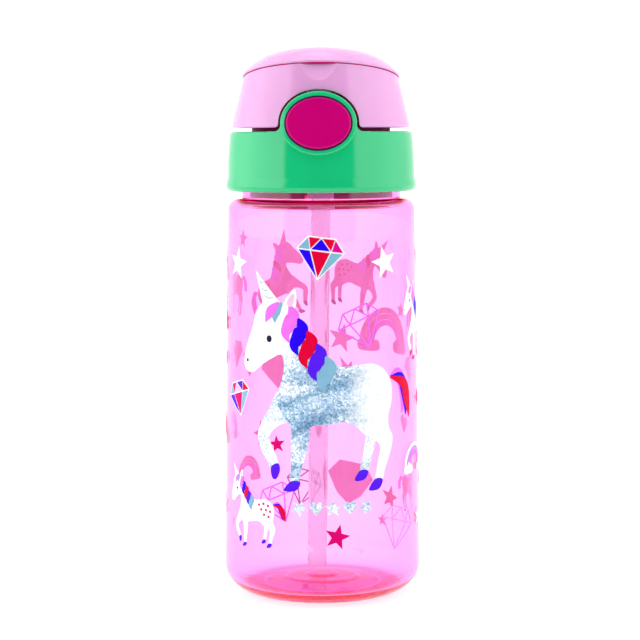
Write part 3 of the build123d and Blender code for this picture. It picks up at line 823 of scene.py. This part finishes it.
HORN = [(-22.6, 34.8), (-15.4, 36.2), (-26.4, 47.8)]
EAR = [(-13.2, 34.6), (-13.1, 37.2), (-9.5, 41.2), (-8.7, 37.0), (-9.8, 33.4)]
INNER_EAR = [(-12.2, 35.2), (-12.1, 36.9), (-10.0, 39.4), (-9.8, 36.8), (-10.6, 34.6)]

# Hair: plain locks, each a name of a colour, the points of its spine and its widths there.
LOCK = 3.4                    # drop of a lock of the mane from one point of its spine to the next


def mane_lock(n):
    """Spine of a wavy lock of the mane; all five are alike, one beside the other."""
    return [(-11.5 + 3.4 * n + 1.4 * math.sin(math.pi * k / 2), 35.0 - 4.6 * n - LOCK * k) for k in range(5)]


def forelock_lock(n):
    return [(-14.5 - 1.2 * n, 36.0), (-17.0 - 2.2 * n, 32.6), (-17.4 - 4.0 * n, 28.6)]


def tail_lock(n):
    return [
        (28.4, 8.0),
        (33.0 + 1.6 * n, 9.0 - 2.0 * n),
        (36.0 + 1.2 * n, 2.0 - 1.5 * n),
        (35.0 + 2.5 * n, -6.0 - n),
    ]


def locks(names, spine, widths):
    return [(name, spine(n), widths) for n, name in enumerate(names)]


MANE = locks(("rose", "blue", "red", "violet", "teal"), mane_lock, [0.8, 4.8, 5.2, 3.6, 0.2])
FORELOCK = locks(("teal", "rose"), forelock_lock, [1.0, 3.8, 0.2])
TAIL = locks(("rose", "blue", "red"), tail_lock, [0.8, 4.2, 4.4, 0.2])
BRIGHT_HAIR = {"teal": TEAL, "red": RED, "rose": ROSE, "blue": BLUE, "violet": VIOLET, "lilac": BLUSH}
COOL_HAIR = {"teal": BLUSH, "red": VIOLET, "rose": ROSE, "blue": LILAC, "violet": BLUE, "lilac": LILAC}

# spots on the rump of a dotted unicorn
RUMP_SPOTS = [
    (12.0, 8.0), (17.5, 9.0), (22.5, 7.0), (14.5, 3.5), (20.0, 3.0), (24.5, 1.5), (17.5, -1.5), (22.5, -3.5),
]


def dot(place, width, height):
    """A round or oval spot of twelve corners."""
    return arc(place, (width, height), 0, 330, 11)


def unicorn(
    place, scale, turn=0.0, mirror=False,
    coat=WHITE, far=WHITE, hair=BRIGHT_HAIR, hoof=VIOLET, dots=None, fine=False,
):
    """Lays one unicorn: far is the ink of the legs on its far side, dots that of the spots on its
    rump, and a fine one has smoother curves and lines on its horn."""
    steps = 7 if fine else 4

    def put(material, outline, level):
        lay(material, moved(outline, place, scale, turn, mirror), level)

    def both(material, outline, level, under=SALMON, depth=0.0):
        """Lays a shape and, under it, the backing that shows through the bottle."""
        put(under, outline, depth)
        put(material, outline, level)

    both(far, spline(FAR_HIND, steps), 1)
    both(far, spline(FAR_FRONT, steps), 1)
    for outline in HOOVES:
        both(hoof, spline(outline, 4), 2.2, BACK_PLUM, -0.1)
    both(coat, spline(HORSE, steps), 1.6)
    both(WHITE, HORN, 1.3)
    both(coat, spline(EAR, 4), 2.4)
    put(hair["lilac"], spline(INNER_EAR, 4), 3.3)
    for number, (name, spine, widths) in enumerate(TAIL):
        both(hair[name], strand(spine, widths, steps), 2.4 + 0.9 * number, BACK_ROSE, -0.12)
    for number, (name, spine, widths) in enumerate(MANE):
        under = BACK_RED if name == "red" else BACK_ROSE
        both(hair[name], strand(spine, widths, steps), 2.5 + 0.55 * number, under, -0.12 - 0.02 * number)
    for number, (name, spine, widths) in enumerate(FORELOCK):
        both(hair[name], strand(spine, widths, steps), 3.4 + 0.8 * number, BACK_ROSE, -0.2)
    if dots:
        for spot in RUMP_SPOTS:
            both(dots, dot(spot, 1.25, 1.25), 2.8, BACK_RED, -0.2)
    if fine:
        # three lines across the horn, shorter towards its tip
        for k in range(3):
            v = 38.0 + 2.7 * k
            middle = -20.0 - 1.75 * k
            half = 2.3 - 0.62 * k
            bow = [(middle - half, v + 0.5), (middle, v - 0.5), (middle + half, v - 0.1)]
            put(TEAL, strand(bow, [0.1, 0.3, 0.1], 4), 2.3)
    # a plain round eye and nostril
    put(DARK, dot((-19.8, 22.6), 1.1, 1.3), 2.8)
    put(DARK, dot((-30.4, 14.2), 0.5, 0.6), 2.8)


# inks of the eight facets of a gem
BLUE_GEM = [TEAL, RED, BLUE, RED, HOT, BLUE, RED, TEAL]
HOT_GEM = [TEAL, HOT, BLUSH, VIOLET, RED, VIOLET, HOT, TEAL]


def front_prints():
    unicorn((0.4, 77.0), 1.0, coat=COAT, far=SPARKLE, fine=True)
    gem((0.4, 129.4), 0.97, [TEAL, RED, BLUE, RED, CERISE, BLUE, RED, TEAL], turn=-7)
    gem((-35.8, 76.6), 0.80, HOT_GEM, turn=14)
    star((-37.2, 126.6), 6.3, WHITE, turn=-10)
    star((26.6, 127.2), 6.2, WHITE, turn=14)
    gem_lines((16.3, 104.0), 0.98, ROSE, turn=22)
    gem_lines((-15.4, 39.4), 0.88, ROSE, turn=24)
    gem_lines((32.4, 28.6), 1.0, ORCHID, turn=-16)
    star((6.4, 27.2), 4.9, HOT, turn=-14)
    star((-16.0, 61.0), 3.4, HOT, turn=8)
    star((-3.4, 22.8), 1.9, PALE, turn=12, backed=False)
    star((14.6, 21.4), 3.2, PALE, turn=-8, backed=False)
    # a row of silver stars and hearts in the middle
    for number, u in enumerate((-7.4, -1.2, 5.0, 11.2, 17.4)):
        if number % 2 == 0:
            star((u, 37.8), 3.3, SILVER, turn=14 * (number - 2), backed=False)
        else:
            heart((u, 37.8), 2.4, SILVER)
    unicorn((-28.2, 34.6), 0.385, turn=4, dots=HOT)
    unicorn((50.4, 103.2), 0.40, hair=COOL_HAIR, hoof=HOT)


def side_prints():
    rainbow((46.0, 50.0), 9.0, [WHITE, LILAC, ROSE])
    star((53.0, 75.0), 3.2, HOT, turn=12)
    star((50.0, 30.0), 4.2, WHITE, turn=-12)
    heart((58.0, 128.0), 3.2, ROSE, turn=10)
    gem((64.0, 84.0), 0.66, BLUE_GEM, turn=-12)
    unicorn((66.0, 38.0), 0.30, dots=HOT)
    star((-51.0, 104.0), 4.0, HOT, turn=10)
    unicorn((-62.0, 116.0), 0.34, mirror=True, hair=COOL_HAIR, hoof=HOT)
    heart((-52.0, 90.0), 2.6, ROSE, turn=-12)
    gem((-66.0, 90.0), 0.66, HOT_GEM, turn=10)
    rainbow((-58.0, 60.0), 9.0, [RED, ROSE, LILAC])
    star((-52.0, 34.0), 4.4, WHITE, turn=18)
    star((-62.0, 26.0), 2.4, LILAC)


def back_prints():
    unicorn((-95.6, 114.4), 0.42, turn=-25, dots=HOT)
    unicorn((98.7, 117.6), 0.40, turn=16, dots=HOT)
    rainbow((85.0, 92.4), 14.2, [RED, ROSE, VIOLET])
    star((107.0, 93.6), 6.0, WHITE, turn=14)
    solid_gem((103.6, 36.0), 1.1, ROSE, turn=8)
    solid_gem((-99.0, 82.0), 1.4, HOT, turn=-14)
    star((-86.4, 57.0), 5.2, HOT, turn=-12)
    star((84.0, 31.6), 5.0, HOT, turn=12)
    star((88.6, 22.0), 2.6, LILAC)
    rainbow((-77.0, 41.0), 8.0, [ROSE, LILAC, TEAL])
    unicorn((100.0, 72.0), 0.30, mirror=True, hair=COOL_HAIR, hoof=HOT)
    gem((-79.0, 86.0), 0.7, BLUE_GEM, turn=10)
    gem_lines((-106.0, 34.0), 0.9, ROSE, turn=14)
    heart((72.0, 62.0), 3.4, ROSE, turn=8)
    star((74.0, 106.0), 3.6, WHITE, turn=8)
    star((-72.0, 134.0), 4.0, WHITE, turn=8)
    heart((-112.0, 56.0), 2.6, RED)


front_prints()
side_prints()
back_prints()
for name, (material, bm) in sorted(prints.items()):
    mesh = bpy.data.meshes.new(name.replace("ink", "print"))
    bmesh.ops.recalc_face_normals(bm, faces=bm.faces)
    bm.to_mesh(mesh)
    bm.free()
    add_mesh(name.replace("ink", "print"), mesh, material, "bottle")

# ------------------------------------------------------------------ painted shade in the seam of the cover

def seam_points():
    """Points just inside the sloping seam between the shell of the cover and its cap."""
    points = []
    for i in range(241):
        angle = 2 * math.pi * i / 240
        r = 30.0
        # the radius depends on the height and the height on the radius: a few rounds settle both
        for _ in range(12):
            z = SEAM_HEIGHT + (r * math.cos(angle) + SEAM_MIDDLE) * math.tan(SEAM_TILT)
            r = COVER_RADIUS - COVER_SLOPE * (z - COVER_BOTTOM) - SEAM_DEPTH
        points.append(Vector((r * math.sin(angle), -r * math.cos(angle), z)) * MM)
    return points


# the rose-red line in the seam is painted shade: it stands in for the gap between shell and cap, reddened by
# light through the pink plastic
add_mesh("cover_seam", tube(seam_points(), SEAM_THICKNESS * MM, 10), seam_painted_shade, "cover", 50)

# ------------------------------------------------------------------ painted shadow in the gap round the button

def gap_points():
    """Oval just outside the edge of the button, on the sloping front of its housing."""
    points = []
    for i in range(161):
        angle = 2 * math.pi * i / 160
        x = GAP_HALF_WIDTH * math.cos(angle)
        z = BUTTON_HEIGHT + GAP_HALF_HEIGHT * math.sin(angle)
        front = HOUSING_RADIUS - (z - HOUSING_LOW) * HOUSING_RETREAT / HOUSING_RISE - GAP_DEPTH
        points.append(Vector((x, -math.sqrt(front * front - x * x), z)) * MM)
    return points


# the near-black line round the button is painted shadow, standing in for the shaded hole between button and
# housing
add_mesh("button_gap", tube(gap_points(), GAP_THICKNESS * MM, 10), gap_painted_shadow, "lid", 50)

# ------------------------------------------------------------------ springs

def hinge_spring_points():
    """Wound wire along the hinge, with one leg up in the cover and one down in the collar."""

    def on_coil(share):
        """A point of the coil, at a share of its length."""
        angle = start + 2 * math.pi * HINGE_COIL_TURNS * share
        return (
            -HINGE_COIL_END + 2 * HINGE_COIL_END * share,
            HINGE[0] + HINGE_COIL * math.cos(angle),
            HINGE[1] + HINGE_COIL * math.sin(angle),
        )

    # the coil starts where its turns run along the leaning leg, and ends where they run straight down
    start = math.pi + HINGE_LEG_LEAN
    points = []
    x, y, z = on_coil(0)
    for i in range(12, 0, -1):
        along = HINGE_LEG * i / 12
        points.append((x, y - along * math.sin(HINGE_LEG_LEAN), z + along * math.cos(HINGE_LEG_LEAN)))
    steps = int(HINGE_COIL_TURNS * TURN_STEPS)
    points += [on_coil(i / steps) for i in range(steps + 1)]
    x, y, z = points[-1]
    points += [(x, y, z - HINGE_LEG * i / 8) for i in range(1, 9)]
    return [Vector(point) * MM for point in points]


def button_spring_points():
    """Wound wire behind the button, with closed turns at both ends and open turns between them."""
    points = []
    steps = PRESS_COIL_TURNS * TURN_STEPS
    for i in range(steps + 1):
        share = i / steps
        open_share = (share - PRESS_COIL_CLOSED) / (1 - 2 * PRESS_COIL_CLOSED)
        y = PRESS_COIL_LENGTH * (0.5 - 0.5 * math.cos(math.pi * min(1, max(0, open_share))))
        angle = 2 * math.pi * PRESS_COIL_TURNS * share
        points.append((
            PRESS_COIL * math.cos(angle),
            PRESS_BACK[0] - y,
            PRESS_BACK[1] + PRESS_COIL * math.sin(angle),
        ))
    return [Vector(point) * MM for point in points]


hinge_wire = add_mesh("hinge_spring_wire", tube(hinge_spring_points(), HINGE_WIRE * MM), steel, None, 50)
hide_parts("hinge_spring")
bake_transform(hinge_wire)
button_wire = add_mesh("button_spring_wire", tube(button_spring_points(), PRESS_WIRE * MM), steel, "lid", 50)
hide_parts("button_spring")
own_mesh(button_wire)

# ------------------------------------------------------------------ floor, light, camera

BRIGHT = 2.6                  # brightest part of the surrounding light
OVERHEAD = 1.3                # brightness overhead
BACKDROP = 1.25               # brightness seen straight or through the bottle
FLOOR_REACH = 6               # from the middle of the white floor to its sides, in metres
# brightness round the object, as a share of BRIGHT: 0.25 is the left, 0.5 the front, 0.75 the right
AROUND = [
    (0.0, 0.48), (0.14, 0.5), (0.22, 0.98), (0.37, 1.0), (0.385, 0.03),
    (0.612, 0.03), (0.63, 0.80), (0.78, 0.78), (0.86, 0.5), (1.0, 0.48),
]

CAMERA_DISTANCE = 0.794       # in metres from the bottle axis
CAMERA_HEIGHT = 0.1732
CAMERA_AZIMUTH = math.radians(1.6)
CAMERA_PITCH = math.radians(5.0)
CAMERA_ASIDE = math.radians(0.045)  # the camera looks this far past the bottle axis
CAMERA_ROLL = math.radians(-0.2)
CAMERA_LENS = 118.1           # mm


def white_floor():
    """Bright floor, which the checks leave out of the object."""
    mesh = bpy.data.meshes.new("floor")
    corners = [(-1, -1), (1, -1), (1, 1), (-1, 1)]
    mesh.from_pydata([(x * FLOOR_REACH, y * FLOOR_REACH, 0) for x, y in corners], [], [(0, 1, 2, 3)])
    shader = Shader("floor_white")
    shader.set(Roughness=0.9, Emission_Color=(1, 1, 1, 1), Emission_Strength=0.75)
    shader.color(shader.ramp(shader.noise(3, 2.0), [(0.3, (0.44, 0.44, 0.44)), (0.7, (0.48, 0.48, 0.48))]))
    floor = add_mesh("floor", mesh, shader.material, None)


def surroundings():
    """White surroundings, with a darker stretch behind the camera that only reflections show."""
    world = bpy.data.worlds.new("studio")
    bpy.context.scene.world = world
    world.use_nodes = True
    tree = world.node_tree
    nodes, link = tree.nodes, tree.links.new

    def mix(factor, first, second):
        node = nodes.new("ShaderNodeMix")
        feed(tree, node.inputs["Factor"], factor)
        feed(tree, node.inputs["A"], first)
        feed(tree, node.inputs["B"], second)
        return node.outputs["Result"]

    coords = nodes.new("ShaderNodeTexCoord")
    split = nodes.new("ShaderNodeSeparateXYZ")
    link(coords.outputs["Generated"], split.inputs["Vector"])
    turn = add_math(tree, "ARCTAN2", split.outputs["X"], add_math(tree, "MULTIPLY", split.outputs["Y"], -1.0))
    around = nodes.new("ShaderNodeValToRGB")
    link(add_math(tree, "ADD", add_math(tree, "DIVIDE", turn, 2 * math.pi), 0.5), around.inputs["Fac"])
    fill_ramp(around, [(place, (value, value, value)) for place, value in AROUND])
    high = nodes.new("ShaderNodeMapRange")
    high.inputs["From Min"].default_value = 0.55
    high.inputs["From Max"].default_value = 0.85
    link(split.outputs["Z"], high.inputs["Value"])
    level = add_math(tree, "MULTIPLY", around.outputs["Color"], BRIGHT)
    upward = mix(high.outputs["Result"], level, OVERHEAD)
    path = nodes.new("ShaderNodeLightPath")
    seen = add_math(tree, "MAXIMUM", path.outputs["Is Camera Ray"], path.outputs["Is Transmission Ray"])
    nodes["Background"].inputs["Color"].default_value = (1, 1, 1, 1)
    link(mix(seen, upward, BACKDROP), nodes["Background"].inputs["Strength"])


def softbox(name, place, target, size, power):
    """A square or oblong lamp at a place, turned towards a target."""
    data = bpy.data.lights.new(name, "AREA")
    data.shape = "RECTANGLE"
    data.size, data.size_y = size
    data.energy = power
    lamp = bpy.data.objects.new(name, data)
    bpy.context.scene.collection.objects.link(lamp)
    lamp.location = place
    aim = Vector(target) - Vector(place)
    lamp.rotation_euler = aim.to_track_quat("-Z", "Y").to_euler()


def camera():
    """Level with the collar, looking down by five degrees, a touch to the right."""
    data = bpy.data.cameras.new("camera")
    data.lens = CAMERA_LENS
    data.sensor_width = 36.0
    data.dof.use_dof = False
    eye = bpy.data.objects.new("camera", data)
    bpy.context.scene.collection.objects.link(eye)
    eye.location = (
        CAMERA_DISTANCE * math.sin(CAMERA_AZIMUTH),
        -CAMERA_DISTANCE * math.cos(CAMERA_AZIMUTH),
        CAMERA_HEIGHT,
    )
    heading = Matrix.Rotation(CAMERA_AZIMUTH + CAMERA_ASIDE, 4, "Z")
    tilt = Matrix.Rotation(math.pi / 2 - CAMERA_PITCH, 4, "X")
    roll = Matrix.Rotation(CAMERA_ROLL, 4, "Z")
    eye.rotation_euler = (heading @ tilt @ roll).to_euler()
    bpy.context.scene.camera = eye


white_floor()
surroundings()
softbox("top_box", (-0.05, 0.05, 1.1), (0, 0, 0.1), (0.8, 0.8), 2.0)
camera()
scene = bpy.context.scene
scene.view_settings.view_transform = "Standard"
scene.cycles.max_bounces = 64
scene.cycles.transmission_bounces = 64
scene.cycles.glossy_bounces = 64
scene.cycles.diffuse_bounces = 8
scene.cycles.transparent_max_bounces = 16
